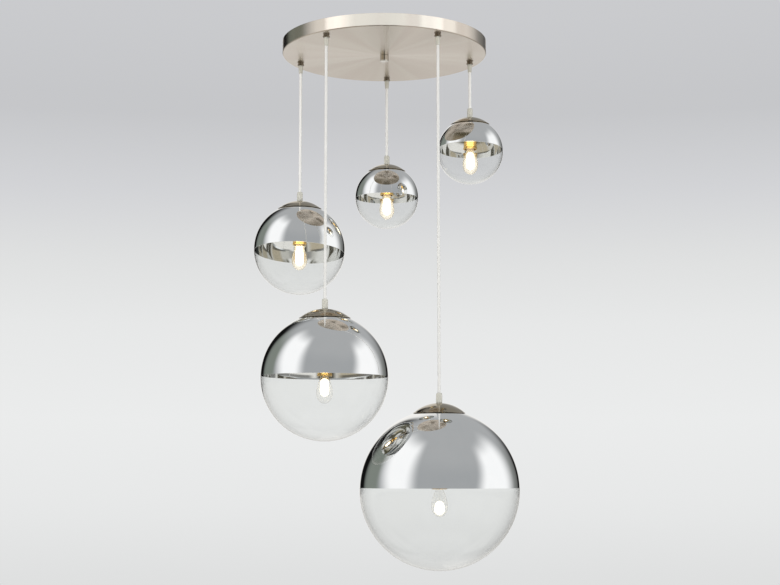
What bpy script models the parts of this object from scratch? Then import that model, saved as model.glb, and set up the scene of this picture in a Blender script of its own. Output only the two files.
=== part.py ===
# Bubble chandelier: a round ceiling canopy with five cord-hung globes of half-mirrored glass.
# Metres, +Z up. The origin is the centre of the ceiling face, and the front of the fitting looks along -Y.

import math

import bmesh
import bpy
from mathutils import Matrix, Vector

# Fits
GAP = 0.0003  # between two pieces that touch on the real fitting
MERGE_DISTANCE = 0.000001
CUT_OVERRUN = 0.002  # how far a cutter runs past the faces it cuts

# Canopy pan
CANOPY_RADIUS = 0.200
CANOPY_DEPTH = 0.025
CANOPY_WALL = 0.0012
CANOPY_EDGE_RADIUS = 0.002
CANOPY_SIDES = 48

# Ceiling bracket with its centre stud, and the cap nut below the pan
BRACKET_LENGTH = 0.180
BRACKET_WIDTH = 0.028
BRACKET_THICKNESS = 0.0025
SLOT_LENGTH = 0.022
SLOT_WIDTH = 0.0055
SLOT_SPACING = 0.110
STUD_RADIUS = 0.003
STUD_ENGAGEMENT = 0.009  # stud length inside the cap nut
NUT_RADIUS = 0.0085
NUT_HEIGHT = 0.012
NUT_EDGE_RADIUS = 0.0015
NUT_SIDES = 20

# Cord exits, on a pentagon
EXIT_EDGE_DISTANCE = 0.022  # from the canopy's edge in to each exit's centre
EXIT_TURN = math.radians(16.5)  # from +X to the exit at the far right
EXIT_STEPS = (2, 1, 0, 3, 4)  # fifths of a turn to each pendant's exit

# Glands and the bend reliefs that swing in them
GLAND_NECK_RADIUS = 0.0049
GLAND_NUT_RADIUS = 0.008
GLAND_NUT_HEIGHT = 0.003
COLLAR_RADIUS = 0.0066
COLLAR_HEIGHT = 0.0045
COLLAR_CHAMFER = 0.0006
PIVOT_DEPTH = 0.0023  # from the collar's mouth up to the ball's centre
BALL_RADIUS = 0.0042
RELIEF_NECK_RADIUS = 0.0033
RELIEF_DROP = 0.001  # from the collar's mouth to the relief's shoulder
RELIEF_LENGTH = 0.015
RELIEF_TOP_RADIUS = 0.0048
RELIEF_END_RADIUS = 0.0037
GLAND_SIDES = 12

# Cords and the wiring above the plate
CORD_RADIUS = 0.00275
CORD_STEP = 3.0  # cord points are this many diameters apart
LOOM_DEPTH = 0.0115  # from the ceiling to the wires' centre lines
LOOM_BEND_RADIUS = 0.005
LOOM_BEND_STEPS = 3
CRIMP_X = 0.035
CRIMP_Y = -0.035
CRIMP_RADIUS = 0.007
CRIMP_LENGTH = 0.036
CRIMP_OVERLAP = 0.008  # how far the sleeve reaches back past the point where the wires meet
BLOCK_LENGTH = 0.034
BLOCK_WIDTH = 0.022
BLOCK_HEIGHT = 0.013
BLOCK_BEVEL = 0.001
TERMINAL_RADIUS = 0.0025
TERMINAL_DEPTH = 0.004
TERMINAL_SPACING = 0.010

# Globes: 1 far left, 2 far, 3 far right, 4 near left, 5 near right
GLOBE_RADII = (0.090, 0.065, 0.065, 0.117, 0.145)
LOWEST_DROP = 0.872  # from the ceiling to the lowest globe's centre
GLOBE_DROPS = (0.402, 0.276, 0.207, 0.668, LOWEST_DROP)  # from the ceiling to each globe's centre
GLOBE_HOLE_RADII = (0.033, 0.028, 0.028, 0.036, 0.036)
GLOBE_SIDES = (24, 20, 20, 28, 28)
GLOBE_UPPER_STEPS = (4, 3, 3, 5, 5)
GLOBE_LOWER_STEPS = (5, 5, 5, 6, 6)
GLASS_WALL = 0.002
CAP_RADII = (0.0435, 0.0385, 0.0385, 0.048, 0.048)
CAP_HEIGHTS = (0.0165, 0.015, 0.015, 0.018, 0.019)
CAP_WALL = 0.001
CAP_LAND = 0.002  # width of the rim that lies over the glass
CAP_STEPS = 3

# Cord grip on top of the cap
GRIP_RADIUS = 0.0056
GRIP_TOP_RADIUS = 0.0046
GRIP_HEIGHT = 0.018
GRIP_TAPER = 0.003
GRIP_TAIL_RADIUS = 0.0049
GRIP_SIDES = 12

# Spring clip that carries the glass
CLIP_HUB_RADIUS = 0.008
CLIP_THICKNESS = 0.001
CLIP_ARM_COUNT = 3
CLIP_ARM_WIDTH = 0.007
CLIP_ARM_THICKNESS = 0.0008
CLIP_ROOT = 0.0015  # from the hub's edge in to where an arm starts
CLIP_CLEARANCE = 0.0035  # from an arm to the edge of the glass
CLIP_RISE = 0.0025  # of an arm over the edge of the glass
CLIP_REACH = 0.005  # of an arm's tip under the glass
CLIP_TOE = 0.0005
MITRE_LIMIT_SHARE = 0.5  # least cosine that widens an arm at its bends

# Threaded stem from the grip down to the lampholder
STEM_RADIUS = 0.005
STEM_BORE_RADIUS = 0.0035
STEM_LENGTHS = (0.040, 0.017, 0.017, 0.076, 0.108)  # below the collar
STEM_COLLAR_RADIUS = 0.0075
STEM_COLLAR_HEIGHT = 0.008
STEM_SOCKET_DEPTH = 0.0065
STEM_ENGAGEMENT = 0.007  # stem length inside the lampholder
STEM_SIDES = 12

# E14 lampholder
HOLDER_LENGTH = 0.044
HOLDER_RADIUS = 0.013
HOLDER_ENTRY_RADIUS = 0.0075
HOLDER_ENTRY_LENGTH = 0.006
HOLDER_SHOULDER_LENGTH = 0.004
HOLDER_LIP_RADIUS = 0.014
HOLDER_LIP_HEIGHT = 0.004
HOLDER_MOUTH_RADIUS = 0.0118
HOLDER_MOUTH_DEPTH = 0.010
HOLDER_SHELL_DEPTH = 0.034  # from the mouth to the floor of the screw shell
HOLDER_SIDES = 14

# E14 lamp: a screw cap and a drop-shaped glass
THREAD_PITCH = 0.00282
THREAD_RADIUS = 0.00695
THREAD_ROOT_RADIUS = 0.0062
THREAD_TURNS = 5
THREAD_START = 0.0108  # from the holder's mouth up to the first ridge
LAMP_SKIRT_RADIUS = 0.0084
LAMP_SKIRT_START = 0.006
LAMP_SKIRT_HEIGHT = 0.0035
LAMP_TOP_RADIUS = 0.0035
LAMP_TAPER_HEIGHT = 0.0035
CONTACT_RADIUS = 0.0022
CONTACT_HEIGHT = 0.0018
LAMP_NECK_RADIUS = 0.0067
LAMP_NECK_DEPTH = 0.003  # of the glass inside the cap
LAMP_RADIUS = 0.015
LAMP_LENGTH = 0.050  # from the holder's mouth to the lamp's tip
LAMP_WALL = 0.0008
# across and down, as shares of the radius and the length
LAMP_SHAPE_SHARES = ((0.70, 0.20), (0.93, 0.42), (1.0, 0.60), (0.87, 0.80), (0.54, 0.95))
LAMP_SIDES = 10

SMOOTH_ANGLE = math.radians(35)


def clear_scene():
    for old in list(bpy.data.objects):
        bpy.data.objects.remove(old, do_unlink=True)


def finish(name, colour, roughness, metallic=0.0, transmission=0.0):
    material = bpy.data.materials.new(name)
    material.use_nodes = True
    shader = material.node_tree.nodes["Principled BSDF"]
    shader.inputs["Base Color"].default_value = (*colour, 1)
    shader.inputs["Roughness"].default_value = roughness
    shader.inputs["Metallic"].default_value = metallic
    shader.inputs["Transmission Weight"].default_value = transmission
    return material


def make_finishes():
    return {
        "brushed_nickel": finish("brushed_nickel", (0.66, 0.62, 0.57), 0.28, metallic=1.0),
        "polished_nickel": finish("polished_nickel", (0.72, 0.70, 0.66), 0.08, metallic=1.0),
        "zinc_steel": finish("zinc_steel", (0.60, 0.61, 0.62), 0.35, metallic=1.0),
        "holder_brass": finish("holder_brass", (0.78, 0.56, 0.22), 0.25, metallic=1.0),
        "mirror_coat": finish("mirror_coat", (0.80, 0.81, 0.82), 0.03, metallic=1.0),
        "clear_glass": finish("clear_glass", (0.97, 0.98, 0.98), 0.0, transmission=1.0),
        "clear_plastic": finish("clear_plastic", (0.90, 0.92, 0.84), 0.15, transmission=0.8),
        "cord_sheath": finish("cord_sheath", (0.88, 0.87, 0.84), 0.35),
        "wire_sheath": finish("wire_sheath", (0.80, 0.80, 0.78), 0.45),
        "terminal_plastic": finish("terminal_plastic", (0.85, 0.85, 0.82), 0.5),
        "lamp_glass": finish("lamp_glass", (1.0, 0.93, 0.78), 0.1, transmission=0.6),
    }


def add_object(name, data, parent=None, place=(0, 0, 0)):
    made = bpy.data.objects.new(name, data)
    bpy.context.scene.collection.objects.link(made)
    made.parent = parent
    made.location = place
    return made


def as_helper(made):
    made.hide_render = True
    made.display_type = "WIRE"
    return made


def mesh_from(name, work, *materials):
    bmesh.ops.remove_doubles(work, verts=work.verts, dist=MERGE_DISTANCE)
    bmesh.ops.recalc_face_normals(work, faces=work.faces)
    mesh = bpy.data.meshes.new(name)
    work.to_mesh(mesh)
    work.free()
    for material in materials:
        mesh.materials.append(material)
    mesh.shade_smooth()
    mesh.set_sharp_from_angle(angle=SMOOTH_ANGLE)
    return mesh


def turned(name, profile, sides, *materials):
    # profile is (radius, height): a closed loop off the axis, or a chain from the axis back to the axis
    work = bmesh.new()
    points = [work.verts.new((radius, 0, height)) for radius, height in profile]
    edges = [work.edges.new(pair) for pair in zip(points, points[1:])]
    if profile[0][0] > 0:
        edges.append(work.edges.new((points[-1], points[0])))
    bmesh.ops.spin(
        work, geom=points + edges, cent=(0, 0, 0), axis=(0, 0, 1), angle=math.tau, steps=sides
    )
    return mesh_from(name, work, *materials)


def block_mesh(name, size, centre, *materials):
    work = bmesh.new()
    bmesh.ops.create_cube(work, size=1, matrix=Matrix.Translation(centre) @ Matrix.Diagonal((*size, 1)))
    return mesh_from(name, work, *materials)


def rod_mesh(name, rods, radius, sides, *materials):
    # rods are (start, end) pairs of points, each a straight round rod
    work = bmesh.new()
    for start, end in rods:
        along = Vector(end) - Vector(start)
        middle = (Vector(end) + Vector(start)) / 2
        turn = along.to_track_quat("Z", "Y").to_matrix().to_4x4()
        bmesh.ops.create_cone(
            work, cap_ends=True, segments=sides, radius1=radius, radius2=radius,
            depth=along.length, matrix=Matrix.Translation(middle) @ turn,
        )
    return mesh_from(name, work, *materials)


def combine(made, helper, operation):
    step = made.modifiers.new(f"{operation.lower()} {helper.name}", "BOOLEAN")
    step.operation = operation
    step.object = helper
    step.solver = "EXACT"


def arc(radius, start, end, steps, centre=(0, 0)):
    # points at angles from the +Z axis, as (radius, height)
    angles = [start + (end - start) * step / steps for step in range(steps + 1)]
    return [(centre[0] + radius * math.sin(a), centre[1] + radius * math.cos(a)) for a in angles]


def tube_curve(name, points, radius, material, parent=None, place=(0, 0, 0)):
    curve = bpy.data.curves.new(name, "CURVE")
    curve.dimensions = "3D"
    curve.bevel_depth = radius
    curve.bevel_resolution = 2
    curve.use_fill_caps = True
    spline = curve.splines.new("POLY")
    spline.points.add(len(points) - 1)
    for point, position in zip(spline.points, points):
        point.co = (*position, 1)
    curve.materials.append(material)
    return add_object(name, curve, parent, place)


# Heights of the canopy's stack, measured up from the ceiling face
plate_bottom = -CANOPY_DEPTH
plate_top = plate_bottom + CANOPY_WALL
collar_top = plate_bottom - GAP
collar_mouth = collar_top - COLLAR_HEIGHT
pivot_height = collar_mouth + PIVOT_DEPTH
gland_nut_bottom = plate_top + GAP
gland_nut_top = gland_nut_bottom + GLAND_NUT_HEIGHT
relief_shoulder = collar_mouth - RELIEF_DROP
relief_end = relief_shoulder - RELIEF_LENGTH
cord_top = relief_end - GAP
block_left = CRIMP_X - CRIMP_OVERLAP + CRIMP_LENGTH + GAP
exit_circle_radius = CANOPY_RADIUS - EXIT_EDGE_DISTANCE


def exit_place(index):
    angle = EXIT_TURN + math.tau / len(EXIT_STEPS) * EXIT_STEPS[index]
    return exit_circle_radius * math.cos(angle), exit_circle_radius * math.sin(angle)


def make_canopy_pan(finishes):
    inner_radius = CANOPY_RADIUS - CANOPY_WALL
    inner_edge = CANOPY_EDGE_RADIUS - CANOPY_WALL
    corner = (CANOPY_RADIUS - CANOPY_EDGE_RADIUS, plate_bottom + CANOPY_EDGE_RADIUS)
    profile = [(inner_radius, 0), (CANOPY_RADIUS, 0)]
    profile += arc(CANOPY_EDGE_RADIUS, math.pi / 2, math.pi, 3, corner)
    profile += [(STUD_RADIUS + GAP, plate_bottom), (STUD_RADIUS + GAP, plate_top)]
    profile += arc(inner_edge, math.pi, math.pi / 2, 1, corner)
    mesh = turned("canopy_pan", profile, CANOPY_SIDES, finishes["brushed_nickel"])
    pan = add_object("canopy_pan", mesh)
    low, high = plate_bottom - CUT_OVERRUN, plate_top + CUT_OVERRUN
    places = [exit_place(index) for index in range(len(EXIT_STEPS))]
    drills = [((x, y, low), (x, y, high)) for x, y in places]
    cutter = rod_mesh("exit_drills", drills, GLAND_NECK_RADIUS + GAP, GLAND_SIDES)
    combine(pan, as_helper(add_object("exit_drills", cutter)), "DIFFERENCE")


def make_ceiling_bracket(finishes):
    size = (BRACKET_LENGTH, BRACKET_WIDTH, BRACKET_THICKNESS)
    bar = block_mesh("ceiling_bracket", size, (0, 0, -BRACKET_THICKNESS / 2), finishes["zinc_steel"])
    bracket = add_object("ceiling_bracket", bar)
    for side, label in ((-1, "left"), (1, "right")):
        slot_size = (SLOT_LENGTH, SLOT_WIDTH, BRACKET_THICKNESS + 2 * CUT_OVERRUN)
        centre = (side * SLOT_SPACING / 2, 0, -BRACKET_THICKNESS / 2)
        slot = block_mesh(f"slot_{label}", slot_size, centre)
        combine(bracket, as_helper(add_object(f"slot_{label}", slot)), "DIFFERENCE")
    top, tip = -BRACKET_THICKNESS / 2, plate_bottom - STUD_ENGAGEMENT
    stud = rod_mesh("stud", [((0, 0, tip), (0, 0, top))], STUD_RADIUS, NUT_SIDES)
    combine(bracket, as_helper(add_object("stud", stud)), "UNION")


def make_cap_nut(finishes):
    top = plate_bottom - GAP
    bottom = top - NUT_HEIGHT
    bore_end = plate_bottom - STUD_ENGAGEMENT - GAP
    corner = (NUT_RADIUS - NUT_EDGE_RADIUS, bottom + NUT_EDGE_RADIUS)
    profile = [(0, bore_end), (STUD_RADIUS + GAP, bore_end), (STUD_RADIUS + GAP, top), (NUT_RADIUS, top)]
    profile += arc(NUT_EDGE_RADIUS, math.pi / 2, math.pi, 2, corner)
    profile.append((0, bottom))
    add_object("cap_nut", turned("cap_nut", profile, NUT_SIDES, finishes["polished_nickel"]))


def make_terminal_block(finishes):
    size = (BLOCK_LENGTH, BLOCK_WIDTH, BLOCK_HEIGHT)
    bottom = plate_top + GAP
    centre = (block_left + BLOCK_LENGTH / 2, CRIMP_Y, bottom + BLOCK_HEIGHT / 2)
    body = block_mesh("terminal_block", size, centre, finishes["terminal_plastic"])
    block = add_object("terminal_block", body)
    bevel = block.modifiers.new("bevel", "BEVEL")
    bevel.width = BLOCK_BEVEL
    bevel.segments = 1
    top = bottom + BLOCK_HEIGHT
    wells = []
    for step in (-1, 0, 1):
        x = centre[0] + step * TERMINAL_SPACING
        wells.append(((x, CRIMP_Y, top - TERMINAL_DEPTH), (x, CRIMP_Y, top + CUT_OVERRUN)))
    cutter = rod_mesh("terminal_wells", wells, TERMINAL_RADIUS, GLAND_SIDES)
    combine(block, as_helper(add_object("terminal_wells", cutter)), "DIFFERENCE")


def wire_route(index):
    x, y = exit_place(index)
    start = pivot_height + BALL_RADIUS + GAP
    inward = Vector((CRIMP_X - x, CRIMP_Y - y, 0)).normalized()
    points = [Vector((x, y, start))]
    bend = arc(LOOM_BEND_RADIUS, -math.pi / 2, 0, LOOM_BEND_STEPS)
    for out, rise in bend:
        along = inward * (LOOM_BEND_RADIUS + out)
        points.append(Vector((x, y, -LOOM_DEPTH - LOOM_BEND_RADIUS + rise)) + along)
    points.append(Vector((CRIMP_X, CRIMP_Y, -LOOM_DEPTH)))
    return points


def make_wiring_loom(finishes):
    # the five cord tails, joined in one crimp sleeve that feeds the terminal block
    sleeve_start = CRIMP_X - CRIMP_OVERLAP
    ends = ((sleeve_start, CRIMP_Y, -LOOM_DEPTH), (sleeve_start + CRIMP_LENGTH, CRIMP_Y, -LOOM_DEPTH))
    sleeve = rod_mesh("wiring_loom", [ends], CRIMP_RADIUS, GLAND_SIDES, finishes["wire_sheath"])
    loom = add_object("wiring_loom", sleeve)
    for index in range(len(EXIT_STEPS)):
        route = wire_route(index)
        guide = tube_curve(f"tail_guide_{index + 1}", route, CORD_RADIUS, finishes["wire_sheath"])
        tail = bpy.data.meshes.new_from_object(guide)
        bpy.data.objects.remove(guide, do_unlink=True)
        combine(loom, as_helper(add_object(f"tail_{index + 1}", tail)), "UNION")


def make_gland(number, x, y, finishes):
    bore_radius = CORD_RADIUS + GAP
    socket_radius = BALL_RADIUS + GAP
    profile = [
        (bore_radius, gland_nut_top),
        (GLAND_NUT_RADIUS, gland_nut_top),
        (GLAND_NUT_RADIUS, gland_nut_bottom),
        (GLAND_NECK_RADIUS, gland_nut_bottom),
        (GLAND_NECK_RADIUS, collar_top),
        (COLLAR_RADIUS, collar_top),
        (COLLAR_RADIUS, collar_mouth + COLLAR_CHAMFER),
        (COLLAR_RADIUS - COLLAR_CHAMFER, collar_mouth),
        (socket_radius, collar_mouth),
    ]
    profile += arc(socket_radius, math.pi / 2, math.asin(bore_radius / socket_radius), 2, (0, pivot_height))
    mesh = turned(f"gland_{number}", profile, GLAND_SIDES, finishes["polished_nickel"])
    add_object(f"gland_{number}", mesh, place=(x, y, 0))


def make_bend_relief(number, swing, finishes):
    # a ball held in the gland, with the tapered sleeve moulded round the cord below it
    neck_angle = math.pi - math.asin(RELIEF_NECK_RADIUS / BALL_RADIUS)
    shoulder, end = relief_shoulder - pivot_height, relief_end - pivot_height
    profile = arc(BALL_RADIUS, 0, neck_angle, 5)
    profile[0] = (0, BALL_RADIUS)
    profile += [
        (RELIEF_NECK_RADIUS, shoulder),
        (RELIEF_TOP_RADIUS, shoulder),
        (RELIEF_END_RADIUS, end),
        (0, end),
    ]
    mesh = turned(f"bend_relief_{number}", profile, GLAND_SIDES, finishes["clear_plastic"])
    add_object(f"bend_relief_{number}", mesh, swing)


def make_cord(number, sway, length, finishes):
    steps = max(2, round(length / (CORD_STEP * 2 * CORD_RADIUS)))
    points = [(0, 0, -length * step / steps) for step in range(steps + 1)]
    tube_curve(f"cord_{number}", points, CORD_RADIUS, finishes["cord_sheath"], sway)


def cap_levels(index):
    # heights above the globe's centre: the cap's rim, its top, its inner top and the clip hub's top
    radius, cap_radius, cap_height = GLOBE_RADII[index], CAP_RADII[index], CAP_HEIGHTS[index]
    land_radius = cap_radius - CAP_LAND
    rim = math.sqrt(radius**2 - land_radius**2) + GAP
    inner_height = cap_height - CAP_WALL
    inner_curve = (land_radius**2 + inner_height**2) / (2 * inner_height)
    hub_sag = inner_curve - math.sqrt(inner_curve**2 - CLIP_HUB_RADIUS**2)
    return rim, rim + cap_height, rim + inner_height, rim + inner_height - hub_sag - GAP


def dome(radius, height, rim, hole_radius):
    curve = (radius**2 + height**2) / (2 * height)
    start, end = math.asin(hole_radius / curve), math.asin(radius / curve)
    return arc(curve, start, end, CAP_STEPS, (0, rim + height - curve))


def make_cap(number, index, pendant, finishes):
    rim = cap_levels(index)[0]
    hole_radius = GRIP_TAIL_RADIUS + GAP
    outer = dome(CAP_RADII[index], CAP_HEIGHTS[index], rim, hole_radius)
    inner = dome(CAP_RADII[index] - CAP_LAND, CAP_HEIGHTS[index] - CAP_WALL, rim, hole_radius)
    mesh = turned(f"cap_{number}", outer + inner[::-1], GLOBE_SIDES[index], finishes["polished_nickel"])
    add_object(f"cap_{number}", mesh, pendant)


def make_globe(number, index, pendant, finishes):
    outer_radius, hole_radius, cap_radius = GLOBE_RADII[index], GLOBE_HOLE_RADII[index], CAP_RADII[index]

    def shell(radius):
        edge, rim = math.asin(hole_radius / radius), math.asin(cap_radius / radius)
        upper = arc(radius, rim, math.pi / 2, GLOBE_UPPER_STEPS[index])
        lower = arc(radius, math.pi / 2, math.pi, GLOBE_LOWER_STEPS[index])
        points = arc(radius, edge, rim, 1)[:1] + upper + lower[1:]
        points[-1] = (0, -radius)
        return points

    profile = shell(outer_radius - GLASS_WALL)[::-1] + shell(outer_radius)
    mesh = turned(
        f"globe_{number}", profile, GLOBE_SIDES[index], finishes["clear_glass"], finishes["mirror_coat"]
    )
    for face in mesh.polygons:
        face.material_index = int(face.center.z > 0)
    add_object(f"globe_{number}", mesh, pendant)


def make_grip(number, index, pendant, finishes):
    base = cap_levels(index)[1] + GAP
    collar_top_height = cap_levels(index)[3] - CLIP_THICKNESS - GAP
    tail_end = collar_top_height - STEM_SOCKET_DEPTH + GAP
    top = base + GRIP_HEIGHT
    profile = [
        (0, tail_end),
        (GRIP_TAIL_RADIUS, tail_end),
        (GRIP_TAIL_RADIUS, base),
        (GRIP_RADIUS, base),
        (GRIP_RADIUS, top - GRIP_TAPER),
        (GRIP_TOP_RADIUS, top),
        (0, top),
    ]
    mesh = turned(f"cord_grip_{number}", profile, GRIP_SIDES, finishes["clear_plastic"])
    add_object(f"cord_grip_{number}", mesh, pendant)
    return top


def glass_seat(index, radius):
    # height of the glass's inner face at this radius, on the flat facets between the hole and the cap's rim
    inner = GLOBE_RADII[index] - GLASS_WALL
    hole_radius, rim_radius = GLOBE_HOLE_RADII[index], CAP_RADII[index]
    high, low = math.sqrt(inner**2 - hole_radius**2), math.sqrt(inner**2 - rim_radius**2)
    reach = radius / math.cos(math.pi / GLOBE_SIDES[index])
    return high + (low - high) * (reach - hole_radius) / (rim_radius - hole_radius)


def clip_arm(name, index, turn):
    glass, hole_radius = GLOBE_RADII[index], GLOBE_HOLE_RADII[index]
    hub_middle = cap_levels(index)[3] - CLIP_THICKNESS / 2
    edge_top = math.sqrt(glass**2 - hole_radius**2)
    tip_radius = hole_radius + CLIP_REACH
    seat = glass_seat(index, math.hypot(tip_radius, CLIP_ARM_WIDTH / 2))
    half = CLIP_ARM_THICKNESS / 2
    route = [
        Vector((CLIP_HUB_RADIUS - CLIP_ROOT, hub_middle)),
        Vector((CLIP_HUB_RADIUS, hub_middle)),
        Vector((hole_radius - CLIP_CLEARANCE, edge_top + CLIP_RISE)),
        Vector((hole_radius - CLIP_CLEARANCE, seat + CLIP_TOE)),
        Vector((tip_radius, seat - GAP - half)),
    ]
    directions = [(b - a).normalized() for a, b in zip(route, route[1:])]
    directions = [directions[0]] + directions + [directions[-1]]
    above, below = [], []
    for point, before, after in zip(route, directions, directions[1:]):
        across = (before + after).normalized().orthogonal()
        across *= half / max(MITRE_LIMIT_SHARE, across.dot(after.orthogonal()))
        above.append(point + across)
        below.append(point - across)
    work = bmesh.new()
    outline = above + below[::-1]
    side = -CLIP_ARM_WIDTH / 2
    face = work.faces.new([work.verts.new((p.x, side, p.y)) for p in outline])
    swept = bmesh.ops.extrude_face_region(work, geom=[face])
    moved = [item for item in swept["geom"] if isinstance(item, bmesh.types.BMVert)]
    bmesh.ops.translate(work, verts=moved, vec=(0, CLIP_ARM_WIDTH, 0))
    bmesh.ops.rotate(work, verts=work.verts, cent=(0, 0, 0), matrix=Matrix.Rotation(turn, 3, "Z"))
    return mesh_from(name, work)


def make_clip(number, index, pendant, finishes):
    top = cap_levels(index)[3]
    hole_radius = GRIP_TAIL_RADIUS + GAP
    hub = [
        (hole_radius, top),
        (CLIP_HUB_RADIUS, top),
        (CLIP_HUB_RADIUS, top - CLIP_THICKNESS),
        (hole_radius, top - CLIP_THICKNESS),
    ]
    mesh = turned(f"glass_clip_{number}", hub, GRIP_SIDES, finishes["zinc_steel"])
    clip = add_object(f"glass_clip_{number}", mesh, pendant)
    for arm_index in range(CLIP_ARM_COUNT):
        name = f"clip_arm_{number}_{arm_index + 1}"
        arm = clip_arm(name, index, math.tau * arm_index / CLIP_ARM_COUNT)
        combine(clip, as_helper(add_object(name, arm, pendant)), "UNION")


def make_stem(number, index, pendant, finishes):
    top = cap_levels(index)[3] - CLIP_THICKNESS - GAP
    shoulder = top - STEM_COLLAR_HEIGHT
    end = shoulder - STEM_LENGTHS[index]
    socket_radius = GRIP_TAIL_RADIUS + GAP
    profile = [
        (socket_radius, top),
        (STEM_COLLAR_RADIUS, top),
        (STEM_COLLAR_RADIUS, shoulder),
        (STEM_RADIUS, shoulder),
        (STEM_RADIUS, end),
        (STEM_BORE_RADIUS, end),
        (STEM_BORE_RADIUS, top - STEM_SOCKET_DEPTH),
        (socket_radius, top - STEM_SOCKET_DEPTH),
    ]
    mesh = turned(f"stem_tube_{number}", profile, STEM_SIDES, finishes["zinc_steel"])
    add_object(f"stem_tube_{number}", mesh, pendant)
    return end


def make_holder(number, stem_end, pendant, finishes):
    top = stem_end + STEM_ENGAGEMENT
    mouth = top - HOLDER_LENGTH
    entry_radius = STEM_RADIUS + GAP
    shell_radius = THREAD_RADIUS + GAP
    entry_floor = stem_end - GAP
    shoulder_top = top - HOLDER_ENTRY_LENGTH
    profile = [
        (entry_radius, top),
        (HOLDER_ENTRY_RADIUS, top),
        (HOLDER_ENTRY_RADIUS, shoulder_top),
        (HOLDER_RADIUS, shoulder_top - HOLDER_SHOULDER_LENGTH),
        (HOLDER_RADIUS, mouth + HOLDER_LIP_HEIGHT),
        (HOLDER_LIP_RADIUS, mouth + HOLDER_LIP_HEIGHT),
        (HOLDER_LIP_RADIUS, mouth),
        (HOLDER_MOUTH_RADIUS, mouth),
        (HOLDER_MOUTH_RADIUS, mouth + HOLDER_MOUTH_DEPTH),
        (shell_radius, mouth + HOLDER_MOUTH_DEPTH),
        (shell_radius, mouth + HOLDER_SHELL_DEPTH),
        (STEM_BORE_RADIUS, mouth + HOLDER_SHELL_DEPTH),
        (STEM_BORE_RADIUS, entry_floor),
        (entry_radius, entry_floor),
    ]
    mesh = turned(f"lampholder_{number}", profile, HOLDER_SIDES, finishes["holder_brass"])
    add_object(f"lampholder_{number}", mesh, pendant)
    return mouth


def make_lamp_cap(number, mouth, pendant, finishes):
    skirt_bottom = mouth + LAMP_SKIRT_START
    skirt_top = skirt_bottom + LAMP_SKIRT_HEIGHT
    recess_radius = (LAMP_NECK_RADIUS + GAP) / math.cos(math.pi / LAMP_SIDES)  # clears the neck at every turn
    recess_floor = skirt_bottom + LAMP_NECK_DEPTH + GAP
    profile = [
        (0, recess_floor),
        (recess_radius, recess_floor),
        (recess_radius, skirt_bottom),
        (LAMP_SKIRT_RADIUS, skirt_bottom),
        (LAMP_SKIRT_RADIUS, skirt_top),
        (THREAD_ROOT_RADIUS, skirt_top),
    ]
    for turn in range(THREAD_TURNS):
        ridge = mouth + THREAD_START + THREAD_PITCH * turn
        profile += [(THREAD_RADIUS, ridge + THREAD_PITCH / 2), (THREAD_ROOT_RADIUS, ridge + THREAD_PITCH)]
    taper_top = profile[-1][1] + LAMP_TAPER_HEIGHT
    profile += [
        (LAMP_TOP_RADIUS, taper_top),
        (CONTACT_RADIUS, taper_top),
        (CONTACT_RADIUS, taper_top + CONTACT_HEIGHT),
        (0, taper_top + CONTACT_HEIGHT),
    ]
    mesh = turned(f"lamp_cap_{number}", profile, LAMP_SIDES, finishes["polished_nickel"])
    add_object(f"lamp_cap_{number}", mesh, pendant)


def make_lamp_glass(number, mouth, pendant, finishes):
    neck_top = mouth + LAMP_SKIRT_START + LAMP_NECK_DEPTH

    def skin(radius, length, neck_radius):
        points = [(neck_radius, neck_top), (neck_radius, mouth)]
        points += [(radius * across, mouth - length * down) for across, down in LAMP_SHAPE_SHARES]
        return points + [(0, mouth - length)]

    outer = skin(LAMP_RADIUS, LAMP_LENGTH, LAMP_NECK_RADIUS)
    inner = skin(LAMP_RADIUS - LAMP_WALL, LAMP_LENGTH - LAMP_WALL, LAMP_NECK_RADIUS - LAMP_WALL)
    mesh = turned(f"lamp_glass_{number}", inner[::-1] + outer, LAMP_SIDES, finishes["lamp_glass"])
    add_object(f"lamp_glass_{number}", mesh, pendant)


def make_pendant(index, finishes):
    number = index + 1
    x, y = exit_place(index)
    make_gland(number, x, y, finishes)
    swing = add_object(f"swing_axis_{number}", None, place=(x, y, pivot_height))
    make_bend_relief(number, swing, finishes)
    sway = add_object(f"sway_axis_{number}", None, swing, (0, 0, cord_top - pivot_height))
    centre = -GLOBE_DROPS[index]
    pendant = add_object(f"pendant_axis_{number}", None, sway, (0, 0, centre - cord_top))
    grip_top = make_grip(number, index, pendant, finishes)
    make_cord(number, sway, cord_top - GAP - (centre + grip_top), finishes)
    make_cap(number, index, pendant, finishes)
    make_clip(number, index, pendant, finishes)
    stem_end = make_stem(number, index, pendant, finishes)
    mouth = make_holder(number, stem_end, pendant, finishes)
    make_globe(number, index, pendant, finishes)
    make_lamp_cap(number, mouth, pendant, finishes)
    make_lamp_glass(number, mouth, pendant, finishes)


def build():
    clear_scene()
    finishes = make_finishes()
    make_canopy_pan(finishes)
    make_ceiling_bracket(finishes)
    make_cap_nut(finishes)
    make_terminal_block(finishes)
    make_wiring_loom(finishes)
    for index in range(len(GLOBE_RADII)):
        make_pendant(index, finishes)


build()
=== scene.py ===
# Looks for the bubble chandelier: five half-mirrored glass globes on pale cords below a brushed canopy.
# Metres, +Z up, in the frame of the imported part.

import math

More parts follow.
